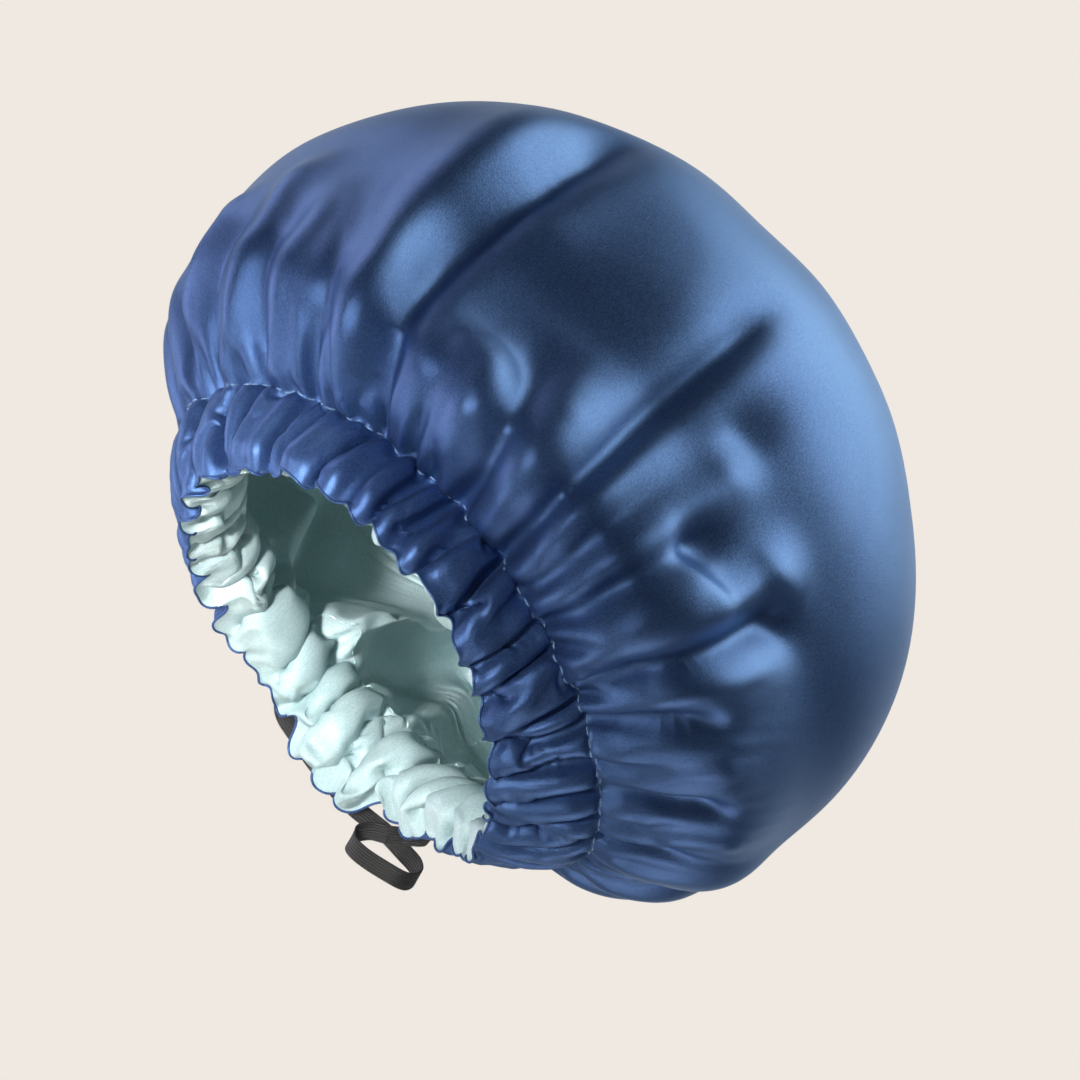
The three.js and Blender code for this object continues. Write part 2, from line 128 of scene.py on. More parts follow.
# Studio: the backdrop is full behind the bonnet and fades away from there in mirrored rays
background_colour = (0.865, 0.815, 0.755)
behind_bonnet = (-0.24, 0.89, 0.38)
least_backdrop = 0.07
dim_light_colour = (0.92, 0.96, 1)
dim_light_strength = 0.055
floor_size = 14
floor_height = -1.15
floor_paleness = 0.85

# Lamps: name, direction, distance, size, power and colour, and for one its aim and the angle of its beam
pink_light = (1.0, 0.88, 1.0)
lamps = [
    ("key_lamp", (0.24, -0.04, 0.96), 1.3, 1.6, 26, (0.95, 1.0, 0.92)),
    ("left_lamp", (-0.93, 0.1, 0.3), 1.4, 0.9, 5, pink_light),
    ("low_left_lamp", (-0.85, 0.3, -0.45), 1.3, 0.9, 7, pink_light),
    ("below_lamp", (-0.3, 0.1, -0.95), 1.1, 0.5, 2.5),
    ("mouth_lamp", (-0.06, -0.82, -0.56), 1.2, 0.16, 0.15, (1, 1, 1), (-0.03, 0.08, 0.03), 11),
    ("low_right_lamp", (0.8, 0.45, -0.4), 1.4, 0.8, 5),
]


# Camera and studio

def add_camera():
    azimuth, elevation, roll = map(math.radians, (camera_azimuth, camera_elevation, camera_roll))
    back = Vector((
        math.sin(azimuth) * math.cos(elevation),
        -math.cos(azimuth) * math.cos(elevation),
        math.sin(elevation),
    ))
    level = Vector((math.cos(azimuth), math.sin(azimuth), 0))
    plumb = back.cross(level)
    right = math.cos(roll) * level + math.sin(roll) * plumb
    up = math.cos(roll) * plumb - math.sin(roll) * level
    data = bpy.data.cameras.new("camera")
    data.lens = camera_lens
    data.sensor_width = camera_sensor
    data.clip_start = 0.05
    data.clip_end = 30
    camera = bpy.data.objects.new("camera", data)
    bpy.context.scene.collection.objects.link(camera)
    turn = Matrix((right, up, back)).transposed().to_4x4()
    place = camera_distance * back + camera_right * right + camera_up * up
    camera.matrix_world = Matrix.Translation(place) @ turn
    bpy.context.scene.camera = camera


def add_lamp(name, direction, distance, size, power, colour=(1, 1, 1), aim_at=(0, 0.02, 0.05), beam=180):
    """A round soft lamp that looks at the bonnet from a direction."""
    data = bpy.data.lights.new(name, "AREA")
    data.shape = "DISK"
    data.size = size
    data.energy = power
    data.color = colour
    data.spread = math.radians(beam)
    lamp = bpy.data.objects.new(name, data)
    bpy.context.scene.collection.objects.link(lamp)
    lamp.location = Vector(direction).normalized() * distance
    aim = Vector(aim_at) - lamp.location
    lamp.rotation_euler = aim.to_track_quat("-Z", "Y").to_euler()


def add_world():
    """The backdrop for rays from the camera, a mirror or through a piece, and a dim light for the rest."""
    world = bpy.data.worlds.new("studio")
    bpy.context.scene.world = world
    world.use_nodes = True
    world.node_tree.nodes.clear()
    nodes = Nodes(world.node_tree)
    path = nodes.add("LightPath").outputs
    place = nodes.add("TexCoord").outputs["Generated"]
    facing = nodes.add("VectorMath", {0: place, 1: behind_bonnet}, operation="DOT_PRODUCT").outputs["Value"]
    backdrop = nodes.map_range(facing, 0.6, 0.97, least_backdrop, 1, interpolation_type="SMOOTHSTEP")
    strength = nodes.math("MAXIMUM", backdrop, path["Is Camera Ray"])
    seen = nodes.add("Background", {"Color": (*background_colour, 1), "Strength": strength})
    lit = nodes.add("Background", {"Color": (*dim_light_colour, 1), "Strength": dim_light_strength})
    shown = nodes.math("MAXIMUM", path["Is Camera Ray"], path["Is Glossy Ray"])
    shown = nodes.math("MAXIMUM", shown, path["Is Transmission Ray"])
    mix = nodes.add("MixShader", {0: shown, 1: lit.outputs[0], 2: seen.outputs[0]})
    nodes.add("OutputWorld", {"Surface": mix.outputs[0]})


def add_studio():
    for lamp in lamps:
        add_lamp(*lamp)
    add_world()
    bpy.ops.mesh.primitive_plane_add(size=floor_size, location=(0, 0, floor_height))
    floor = bpy.context.object
    floor.name = "floor"
    floor.data.materials.append(floor_finish())
    bpy.context.scene.view_settings.view_transform = "Standard"


# Finishes

class Nodes:
    """Adds nodes to a tree. Each input is given as a plain value or as another node's output."""

    def __init__(self, tree):
        self.tree = tree

    def plug(self, node, inputs):
        for key, value in inputs.items():
            if isinstance(value, bpy.types.NodeSocket):
                self.tree.links.new(value, node.inputs[key])
            else:
                node.inputs[key].default_value = value

    def add(self, kind, inputs=None, **settings):
        node = self.tree.nodes.new("ShaderNode" + kind)
        for key, value in settings.items():
            setattr(node, key, value)
        self.plug(node, inputs or {})
        return node

    def math(self, operation, first, second):
        return self.add("Math", {0: first, 1: second}, operation=operation).outputs[0]

    def map_range(self, value, low, high, to_low=0, to_high=1, **settings):
        inputs = {"Value": value, "From Min": low, "From Max": high, "To Min": to_low, "To Max": to_high}
        return self.add("MapRange", inputs, **settings).outputs["Result"]

    def noise(self, place, scale, detail, roughness=0.5):
        inputs = {"Vector": place, "Scale": scale, "Detail": detail, "Roughness": roughness}
        return self.add("TexNoise", inputs).outputs["Fac"]

    def blend(self, share, low, high):
        """A colour between a low and a high one."""
        ramp = self.add("ValToRGB", {"Fac": share})
        ramp.color_ramp.elements[0].color = (*low, 1)
        ramp.color_ramp.elements[1].color = (*high, 1)
        return ramp.outputs["Color"]

    def bump(self, height, strength, depth):
        return self.add("Bump", {"Height": height, "Strength": strength, "Distance": depth}).outputs["Normal"]

    def cloth_map(self, threads):
        """The piece's own UV map, scaled to threads per metre across and along."""
        cloth = self.add("UVMap", uv_map="cloth").outputs["UV"]
        return self.add("Mapping", {"Vector": cloth, "Scale": (*threads, 1)}).outputs["Vector"]

    def object_place(self):
        return self.add("TexCoord").outputs["Object"]


def new_finish(name):
    """A material, its shader, and the helper that adds nodes to it."""
    material = bpy.data.materials.new(name)
    material.use_nodes = True
    return material, material.node_tree.nodes["Principled BSDF"], Nodes(material.node_tree)


def floor_finish():
    """A pale floor: mostly as pale as the background to the camera, and the rest of it takes the shadow."""
    material, shader, nodes = new_finish("pale_floor")
    grain = nodes.noise(nodes.object_place(), 3, 4)
    colour = nodes.blend(grain, (0.80, 0.75, 0.69), (0.84, 0.79, 0.73))
    nodes.plug(shader, {"Base Color": colour, "Roughness": 0.9})
    pale = nodes.add("Emission", {"Color": (*background_colour, 1), "Strength": 1})
    path = nodes.add("LightPath").outputs
    seen = nodes.math("MULTIPLY", path["Is Camera Ray"], floor_paleness)
    mirrored = nodes.math("MAXIMUM", path["Is Glossy Ray"], path["Is Transmission Ray"])
    share = nodes.math("MAXIMUM", seen, nodes.math("MULTIPLY", mirrored, least_backdrop))
    mix = nodes.add("MixShader", {0: share, 1: shader.outputs["BSDF"], 2: pale.outputs["Emission"]})
    nodes.plug(material.node_tree.nodes["Material Output"], {"Surface": mix.outputs[0]})
    return material


def satin_finish(name, shade, colour, gloss_tint, roughness, gloss, lustre):
    """Satin: warp threads run up the cloth, so the grain and the bump are drawn on the cloth's own UV map."""
    material, shader, nodes = new_finish(name)
    place = nodes.object_place()
    grain = nodes.noise(nodes.cloth_map((2600, 260)), 1, 3, 0.65)
    fine = nodes.noise(place, 1500, 2, 0.6)
    weave = nodes.math("MULTIPLY", nodes.math("ADD", grain, fine), 0.5)
    broad = nodes.noise(place, 14, 2)
    patches = nodes.add("Mix", {"Factor": 0.25, "A": weave, "B": broad}, data_type="FLOAT").outputs["Result"]
    tone = nodes.map_range(patches, 0.43, 0.57)
    nodes.plug(shader, {
        "Base Color": nodes.blend(tone, shade, colour),
        "Roughness": nodes.map_range(weave, 0, 1, roughness - 0.05, roughness + 0.06),
        "Metallic": lustre,
        "Specular IOR Level": gloss,
        "Specular Tint": (*gloss_tint, 1),
        "Normal": nodes.bump(weave, 1, 0.17 * MM),
    })
    return material


def elastic_finish(name):
    """Ribbed elastic: its ribs are in the mesh, and the cross threads of the braid are in the bump."""
    material, shader, nodes = new_finish(name)
    fluff = nodes.noise(nodes.cloth_map((900, 2400)), 1, 4, 0.7)
    tone = nodes.map_range(fluff, 0.35, 0.65)
    nodes.plug(shader, {
        "Base Color": nodes.blend(tone, (0.005, 0.005, 0.005), (0.027, 0.026, 0.025)),
        "Roughness": 0.55,
        "Sheen Weight": 0.1,
        "Normal": nodes.bump(fluff, 0.6, 0.1 * MM),
    })
    return material


def thread_finish(name, dark, light):
    """Twisted thread: slanting bands in its colour and bump."""
    material, shader, nodes = new_finish(name)
    inputs = {"Vector": nodes.object_place(), "Scale": 900, "Distortion": 2, "Detail": 2}
    twist = nodes.add("TexWave", inputs, bands_direction="DIAGONAL").outputs["Fac"]
    nodes.plug(shader, {
        "Base Color": nodes.blend(twist, dark, light),
        "Roughness": 0.5,
        "Normal": nodes.bump(twist, 0.4, 0.06 * MM),
    })
    return material


# Lines, fields and vectors

def smooth(value, low=0.0, high=1.0):
    share = np.clip((value - low) / (high - low), 0, 1)
    return share * share * (3 - 2 * share)


def unit(vectors):
    return vectors / np.linalg.norm(vectors, axis=-1, keepdims=True)


def angle_gap(angle, other):
    """Signed distance between angles in degrees, the short way round."""
    return (angle - other + 180) % 360 - 180


def evened(points, passes, axis=0):
    """Closed rows of points, each point drawn towards its two neighbours."""
    for _ in range(passes):
        points = (np.roll(points, 1, axis) + 2 * points + np.roll(points, -1, axis)) / 4
    return points


def lengths_along(points):
    return np.concatenate([[0], np.cumsum(np.linalg.norm(np.diff(points, axis=0), axis=1))])


def points_at(at, length, points):
    """Points of a line at given lengths along it."""
    return np.stack([np.interp(at, length, points[:, axis]) for axis in range(3)], -1)


def neighbours(field, reach):
    return [np.roll(field, shift, 1) for shift in range(-reach, reach + 1)]


def least_round(field, reach):
    """The least value within reach columns on either side."""
    return np.minimum.reduce(neighbours(field, reach))


def mean_round(field, reach):
    return sum(neighbours(field, reach)) / (2 * reach + 1)


# Shape of the cloth before its folds, as functions of an angle round the opening and a share

def oval(angle, half_x, half_y):
    return 1 / np.hypot(np.cos(angle) / half_x, np.sin(angle) / half_y)


def crown_base(angle, share):
    lowest = math.asin(crown_centre_height / crown_top_height)
    rise = math.pi / 2 - share * (math.pi / 2 + lowest)
    height = crown_centre_height + crown_top_height * np.sin(rise)
    draw_in = np.clip(1 - height / draw_in_height, 0, 1) ** 2
    lean = smooth(height, 0, crown_centre_height)
    at_row = oval(angle, row_half_width, row_half_length)
    radius = crown_radius * np.cos(rise) - (crown_radius * math.cos(lowest) - at_row) * draw_in
    return np.stack([
        -crown_lean_side * lean + radius * np.cos(angle),
        crown_lean_back * lean + radius * np.sin(angle),
        height - row_dip * np.cos(2 * angle) * draw_in,
    ], -1)


def band_base(angle, share):
    at_row = oval(angle, row_half_width, row_half_length)
    at_edge = oval(angle, edge_half_width, edge_half_length)
    radius = at_row + (at_edge - at_row) * share
    degrees = np.degrees(angle) % 360
    fall = nape_fall * smooth(degrees, *nape_fall_starts) * (1 - smooth(degrees, *nape_fall_ends))
    height = -row_dip * np.cos(2 * angle) - band_depth * share - fall * smooth(share, 0.4, 1)
    return np.stack([radius * np.cos(angle), radius * np.sin(angle), height], -1)


def cloth_normals(points):
    round_it = np.roll(points, -1, 1) - np.roll(points, 1, 1)
    normals = np.cross(np.gradient(points, axis=0), round_it)
    normals /= np.linalg.norm(normals, axis=-1, keepdims=True).clip(1e-12)
    return normals


class ClothGrid:
    """The cloth as a grid of angles and rows: rows from the crown's top to the stitches, then to the edge."""

    def __init__(self, columns, crown_rows, band_rows):
        self.columns = columns
        self.crown_rows = crown_rows
        self.band_rows = band_rows
        self.rows = crown_rows + band_rows
        steps = np.linspace(0, 1, crown_rows)
        up = (np.exp(row_bunching * (1 - steps)) - 1) / (math.exp(row_bunching) - 1)
        crown_shares = 1 - up * (1 - top_share)
        band_shares = np.linspace(0, 1, band_rows + 1)[1:]
        self.angles = np.arange(columns) * 2 * math.pi / columns
        crown = crown_base(*np.meshgrid(self.angles, crown_shares))
        band = band_base(*np.meshgrid(self.angles, band_shares))
        self.base = np.concatenate([crown, band])
        self.degrees = np.degrees(self.angles)[None, :].repeat(self.rows, 0)
        self.share = np.concatenate([crown_shares, 1 + band_shares])[:, None].repeat(columns, 1)
        self.on_crown = self.share <= 1
        self.band_share = np.clip(self.share - 1, 0, 1)
        self.along = np.stack([-np.sin(self.angles), np.cos(self.angles), 0 * self.angles], -1)[None]
        self.radius = np.hypot(self.base[..., 0], self.base[..., 1]).clip(0.02)
        self.measure()

    def measure(self):
        """Normals, and distances from the row: up is on the crown, down in the band."""
        normals = cloth_normals(self.base)
        for _ in range(3):
            normals[1:-1] = (normals[:-2] + 2 * normals[1:-1] + normals[2:]) / 4
        self.normals = unit(normals)
        steps = np.linalg.norm(np.diff(self.base, axis=0), axis=-1)
        arc = np.concatenate([np.zeros((1, self.columns)), np.cumsum(steps, 0)])
        self.from_row = arc[self.crown_rows - 1] - arc
        self.up = np.maximum(self.from_row, 0)
        self.down = np.maximum(-self.from_row, 0)

    def choose(self, on_crown, in_band):
        return np.where(self.on_crown, on_crown, in_band)

    def across(self, middle):
        """Distance round the cloth from a line whose angle is given for each point, in metres."""
        return np.radians(angle_gap(self.degrees, middle)) * self.radius

    def height_and_slide(self, points):
        """How far points stand off the smooth shape, and how far round it they have slid, in radians."""
        off = points - self.base
        slide = (off[..., :2] * self.along[..., :2]).sum(-1) / self.radius
        return (off * self.normals).sum(-1), slide


def soft_noise(grid, seed, columns, rows):
    """A smooth random field on the grid, from -1 to 1, that closes round the opening."""
    coarse = np.random.default_rng(seed).uniform(-1, 1, (rows + 1, columns))
    row_place = np.linspace(0, rows, grid.rows)
    column_place = np.arange(grid.columns) * columns / grid.columns
    lower = np.minimum(row_place.astype(int), rows - 1)
    left = column_place.astype(int)
    down = smooth(row_place - lower)[:, None]
    right = smooth(column_place - left)[None, :]
    after = (left + 1) % columns
    upper_line = coarse[lower][:, left] * (1 - right) + coarse[lower][:, after] * right
    lower_line = coarse[lower + 1][:, left] * (1 - right) + coarse[lower + 1][:, after] * right
    return upper_line * (1 - down) + lower_line * down


# Folds and gathers. A fold's path is a list of (angle in degrees, crown share), from the row up

def long_fold(grid, path, start_width, end_width, height, rise=0.06, fall=0.35, lean=0.0, sharp=2.0):
    """A fold along a path: rounded, or a crease where sharp is under 2."""
    angles, shares = np.array(path, float).T
    order = np.argsort(shares)
    middle = np.interp(grid.share, shares[order], angles[order])
    top, bottom = shares.min(), shares.max()
    along = np.clip((bottom - grid.share) / (bottom - top), 0, 1)
    width = start_width + (end_width - start_width) * along
    across = grid.across(middle)
    across = across / (width * np.where(across > 0, 1 - lean, 1 + lean))
    taper = smooth(bottom - grid.share, -rise, rise) * (1 - smooth(along, 1 - fall, 1))
    taper = np.where(grid.share < top, 0, taper)
    return height * taper * np.exp(-np.abs(across) ** sharp)


def gathers(grid, seed, count, depth, crown_reach, width, evenness=0.45, drift=5, bend=2.5, ends=(2, 2),
            calm=None):
    """Valleys from the row of stitches up the crown and down the band, which end there at a random share."""
    rng = np.random.default_rng(seed)
    widths = rng.uniform(1 - evenness, 1 + evenness, count)
    height = np.zeros_like(grid.share)
    down = grid.down / band_depth
    for angle in np.cumsum(widths) / widths.sum() * 360:
        reach = crown_reach * rng.uniform(0.35, 1.5)
        this_depth = depth * rng.uniform(0.5, 1.15)
        crown_drift = rng.uniform(-5, 5)
        band_drift = rng.uniform(-drift, drift)
        band_bend = rng.uniform(-bend, bend)
        band_end = rng.uniform(*ends)
        if calm is not None:
            this_depth *= calm(angle)
        away = smooth(grid.up / reach)
        middle = (
            angle
            + crown_drift * away
            + band_drift * smooth(down)
            + band_bend * np.sin(math.pi * np.clip(down, 0, 1))
        )
        here = width * (1 + 2.4 * away + 0.35 * smooth(down))
        across = np.abs(grid.across(middle)) / here
        taper = grid.choose(1 - away, 1 - smooth(down, band_end - 0.4, band_end))
        height = np.minimum(height, -this_depth * taper * np.exp(-across ** 1.35))
    return height


def nape_calm(angle):
    """Gathers lie flatter at the nape, where the strap runs over them."""
    return 1 - 0.5 * math.exp(-(angle_gap(angle, 86.5) / 30) ** 2)


# The photographed folds: path, widths at its start and end and height in millimetres, and form
photographed = [
    # Ridge beside the long fold, its valley, and the shade under it
    ([(243, 0.99), (246, 0.93), (247, 0.84), (246, 0.72), (244, 0.6), (239, 0.42), (236, 0.34)],
     9, 14, 8.5, {"lean": 0.3}),
    ([(252, 0.98), (252, 0.91), (252.5, 0.8), (252, 0.7), (251, 0.59), (246, 0.42), (243, 0.35)],
     7, 13, -10, {"lean": 0.35, "sharp": 1.5, "fall": 0.2}),
    ([(263, 0.86), (265, 0.74), (266, 0.64), (262, 0.52), (252, 0.34)],
     18, 26, -5, {"rise": 0.1, "fall": 0.5}),
    # Ridge beside the sharp crease, the crease, and the shade under it
    ([(292, 1), (290, 0.92), (290, 0.82), (290, 0.68), (290, 0.47)], 5, 8, 6.5, {"lean": -0.3}),
    ([(288.5, 1), (286.6, 0.92), (286.6, 0.82), (286.4, 0.68), (286.4, 0.46)],
     2.4, 4.5, -7.5, {"sharp": 1.2, "fall": 0.2}),
    ([(295, 0.97), (293.5, 0.9), (293.5, 0.8), (293.5, 0.66), (292, 0.5)], 8, 15, -5.5, {}),
    # Lobes and low ridges to the right of the crease
    ([(300, 1), (298, 0.92), (298, 0.82), (298.5, 0.64)], 5, 8, 7, {"fall": 0.2}),
    ([(303, 0.98), (301.5, 0.92), (302, 0.84), (304, 0.72)], 4, 8, -7, {"sharp": 1.4}),
    ([(307, 0.98), (305.5, 0.9), (306, 0.8)], 7, 10, 8, {"fall": 0.2}),
    ([(313, 1), (310, 0.95), (311, 0.85), (313, 0.66)], 6, 10, 7.5, {"fall": 0.2}),
    ([(318, 1), (316, 0.95), (316.5, 0.86), (318, 0.7)], 5, 9, -8.5, {"sharp": 1.4, "fall": 0.2}),
    # Short ridges and valleys between the long fold and the crease
    ([(269, 0.99), (269, 0.91), (266, 0.8)], 6, 12, 5, {}),
    ([(276, 0.99), (275, 0.91), (272, 0.74)], 4, 10, -4.5, {}),
    ([(282, 0.99), (280, 0.9), (279, 0.76)], 6, 11, 4.5, {}),
    # Folds to the left of the long fold
    ([(212, 1), (216, 0.94), (221, 0.86), (222, 0.68)], 6, 10, 5.5, {}),
    ([(218, 1), (221, 0.94), (226, 0.84), (227, 0.7)], 4, 8, -4, {"sharp": 1.6, "fall": 0.75}),
    ([(227, 1), (228, 0.95), (231, 0.84), (232, 0.74)], 6, 10, 4.5, {}),
    ([(236, 1), (238, 0.94), (240, 0.84), (240, 0.7)], 4, 9, -3.6, {"sharp": 1.6, "fall": 0.75}),
    ([(194, 1), (198, 0.93), (207, 0.84), (209, 0.74)], 6, 9, 5, {}),
    ([(202, 1), (206, 0.93), (214, 0.84), (216, 0.76)], 4, 7, -3.6, {"sharp": 1.6, "fall": 0.75}),
    # Folds at the lower right, and a faint line across the crown
    ([(321, 1), (320, 0.95), (321, 0.84), (322, 0.72)], 6, 10, 5, {}),
    ([(327, 1), (327, 0.95), (328, 0.86)], 4, 7, -5, {"sharp": 1.6}),
    ([(334, 1), (335, 0.95), (337, 0.84)], 6, 10, 4, {}),
    ([(341, 1), (345, 0.95), (347, 0.88)], 4, 7, -5, {"sharp": 1.6}),
    ([(348, 1), (353, 0.95), (357, 0.84)], 6, 10, 4, {}),
    ([(303, 0.45), (313, 0.51), (318, 0.59), (320, 0.7)], 4, 5, -0.8, {"rise": 0.03}),
]


def photographed_folds(grid):
    height = np.zeros_like(grid.share)
    for path, start_width, end_width, fold_height, form in photographed:
        height += long_fold(grid, path, start_width * MM, end_width * MM, fold_height * MM, **form)
    return height


def unseen_folds(grid, seed):
    """Long folds of the same kind on the sides that the photograph does not show."""
    rng = np.random.default_rng(seed)
    height = np.zeros_like(grid.share)
    for angle in np.arange(6, 188, 9.5):
        start = angle + rng.uniform(-2.5, 2.5)
        end = start + rng.uniform(-7, 7)
        top = rng.uniform(0.3, 0.8)
        size = rng.uniform(3.5, 6.5) * MM
        width = rng.uniform(5, 8) * MM
        path = [(start, 1), ((start + end) / 2, (1 + top) / 2), (end, top)]
        height += long_fold(grid, path, width, 1.8 * width, size, fall=0.8)
        gap = rng.uniform(5, 7)
        beside = [(place + gap, share) for place, share in path]
        height += long_fold(grid, beside, 0.6 * width, 1.3 * width, -size, sharp=1.6, fall=0.8)
    return height


def by_slots(grid):
    """1 in and beside a slot, where the cloth lies flat, and 0 away from it."""
    share = np.zeros_like(grid.share)
    for first, last, upper, lower in (left_slot, right_slot):
        across = np.abs(angle_gap(grid.degrees, (first + last) / 2)) / ((last - first) / 2)
        height = np.abs(grid.band_share - (upper + lower) / 2) / ((lower - upper) / 2)
        far = np.maximum(across, height) + 9 * grid.on_crown
        share = np.maximum(share, 1 - smooth(far, 1.15, 2.1))
    return share


def in_slots(grid):
    """The faces that are left out for the slots."""
    degrees = grid.degrees[:-1] + 180 / grid.columns
    share = (grid.share[:-1] + grid.share[1:]) / 2 - 1
    opened = np.zeros(degrees.shape, bool)
    for first, last, upper, lower in (left_slot, right_slot):
        opened |= (degrees > first) & (degrees < last) & (share > upper) & (share < lower)
    return opened


def outer_pleats(grid):
    """The gathers of the outer satin, which also set where the free edge dips."""
    depth, reach, width = 6.5 * MM, 42 * MM, 2.4 * MM
    return gathers(grid, 5, gather_count, depth, reach, width, evenness=0.55, ends=(0.9, 2), calm=nape_calm)


def outer_height(grid, folds, pleats):
    """How far the outer satin stands off its smooth shape."""
    up = grid.up
    height = folds + unseen_folds(grid, seed=21)
    height += pleats
    height += gathers(grid, 8, fine_gather_count, depth=1.6 * MM, crown_reach=18 * MM, width=1.5 * MM)
    puff = 1.5 * MM
    height += grid.choose(puff * (1 - np.exp(-up / (8 * MM))) * np.exp(-up / (34 * MM)), 0)
    across_band = np.sin(math.pi * np.clip(grid.down / band_depth, 0, 1)) ** 0.7
    height += grid.choose(0, puff * across_band)
    height += soft_noise(grid, 3, 16, 12) * 1.3 * MM * smooth(up / (60 * MM)) * smooth(grid.share / 0.3)
    height += soft_noise(grid, 4, 90, 60) * 0.7 * MM * (1 - smooth(up / (45 * MM)))
    frill = soft_noise(grid, 6, 44, 30) * 3.8 * MM * smooth(grid.band_share, 0.65, 1)
    turned_in = 3 * MM * smooth(grid.band_share, 0.72, 1)
    flat = by_slots(grid)
    return (height + frill - turned_in) * (1 - flat) + slot_rise * flat


# Settling: the gathered cloth keeps the lengths of its threads, so its surplus puckers into folds

def pull_pairs(first, second, length, share):
    """Moves the ends of each thread until the thread has its own length again."""
    gap = second - first
    distance = np.sqrt(np.einsum("...i,...i", gap, gap))[..., None]
    move = gap * (0.5 * share * (1 - length[..., None] / np.maximum(distance, 1e-9)))
    first += move
    second -= move


def pull_threads(place, round_length, down_length):
    """Pulls the threads round the cloth, then those down it, every second one at a time."""
    for turn in (0, 1):
        place = np.roll(place, -turn, 1)
        length = np.roll(round_length, -turn, 1)
        pull_pairs(place[:, 0::2], place[:, 1::2], length[:, 0::2], thread_pull)
        place = np.roll(place, turn, 1)
    for first in (0, 1):
        stop = first + 2 * ((len(place) - first) // 2)
        pull_pairs(place[first:stop:2], place[first + 1:stop:2], down_length[first:stop:2], thread_pull)
    return place


def spread_pairs(place, row_step, column_step, length, share, only_short=False):
    """The same for all pairs at once, each end taking a part of every pull."""
    rows = place.shape[0] - row_step
    other = np.roll(place, -column_step, 1)[row_step:]
    gap = other - place[:rows]
    distance = np.sqrt(np.einsum("...i,...i", gap, gap))[..., None]
    amount = 1 - length[..., None] / np.maximum(distance, 1e-9)
    if only_short:
        amount = np.minimum(amount, 0)
    move = gap * (share * amount)
    place[:rows] += move
    place[row_step:] -= np.roll(move, column_step, 1)


def keep_between(place, base, normals, lowest, highest):
    """Keeps the cloth's height over its smooth shape between two heights."""
    depth = np.einsum("...i,...i", place - base, normals)
    kept = np.clip(depth, lowest, highest)
    place += normals * (kept - depth)[..., None]


def keep_order(place, along, least_gap):
    """Keeps each point behind the next one round the cloth."""
    gap = np.roll(place, -1, 1) - place
    short = np.maximum(least_gap - np.einsum("...i,...i", gap, along), 0)[..., None] * 0.5
    place -= along * short
    place += np.roll(along * short, 1, 1)


def settle(grid, start, surplus, slack, hold, push, lowest, highest, stiffness):
    """Lets the cloth find its folds. Where hold is 1 it stays, elsewhere it is drawn back by that share."""
    base, normals, along, target = (
        field.astype(np.float32) for field in (grid.base, grid.normals, grid.along, start)
    )
    round_base = np.linalg.norm(np.roll(base, -1, 1) - base, axis=-1)
    round_length = (round_base * surplus).astype(np.float32)
    down_length = (np.linalg.norm(np.diff(base, axis=0), axis=-1) * slack[1:]).astype(np.float32)
    slant_length = np.sqrt(((round_length[1:] + round_length[:-1]) / 2) ** 2 + down_length ** 2)
    bend_length = round_length * over_two_threads
    wide_bend_length = round_length * over_four_threads
    fall_length = (down_length[1:] + down_length[:-1]) * straight_fall
    least_gap = round_base * least_gap_share
    hold = hold[..., None].astype(np.float32)
    place = target.copy()
    before = place.copy()
    for _ in range(settle_rounds):
        speed = (place - before) * kept_speed
        before = place.copy()
        place += speed + cloth_normals(place) * push[..., None]
        place = pull_threads(place, round_length, down_length)
        spread_pairs(place, 1, 1, slant_length, slant_pull)
        spread_pairs(place, 1, -1, slant_length, slant_pull)
        spread_pairs(place, 0, 2, bend_length, stiffness, only_short=True)
        spread_pairs(place, 0, 4, wide_bend_length, 0.7 * stiffness, only_short=True)
        spread_pairs(place, 2, 0, fall_length, fall_pull, only_short=True)
        keep_between(place, base, normals, lowest, highest)
        keep_order(place, along, least_gap)
        place += (target - place) * hold
    return evened(place, 2, axis=1).astype(float)


def iron(points, weight, passes):
    """Smooths fine crinkles where weight is 1, and leaves the cloth as it is where it is 0."""
    for _ in range(passes):
        mean = (np.roll(points, 1, 1) + np.roll(points, -1, 1)) / 4
        mean[1:-1] += (points[:-2] + points[2:]) / 4
        mean[[0, -1]] += points[[0, -1]] / 2
        points = points + (mean - points) * weight[..., None]
    return points


def heights_over(grid, points):
    """The settled cloth's height over its smooth shape, read at the grid's own angles."""
    height, slide = grid.height_and_slide(points)
    heights = np.empty_like(height)
    for row in range(grid.rows):
        at = grid.angles + slide[row]
        order = np.argsort(at)
        heights[row] = np.interp(grid.angles, at[order], height[row][order], period=2 * math.pi)
    return heights


def at_row(grid):
    """1 on the row of stitches, which hold the cloth there."""
    return np.exp(-(grid.from_row / (1.2 * MM)) ** 2)


def fading(grid, at_top, more_at_row, reach):
    """A value for the crown that grows towards the row of stitches over a reach."""
    return at_top + more_at_row * np.exp(-grid.up / reach)


# Settling of the outer satin

def outer_hold(grid, folded):
    """How firmly the satin keeps its place: by the row, the slots and the photographed folds."""
    hold = 0.012 + 0.03 * smooth(grid.up, 40 * MM, 120 * MM)
    on_folds = 0.1 * folded * smooth(grid.up, 4 * MM, 20 * MM)
    hold = grid.choose(np.maximum(hold, on_folds), 0.006)
    hold = np.maximum(hold, 0.12 * at_row(grid))
    return np.maximum(hold, 0.5 * by_slots(grid))


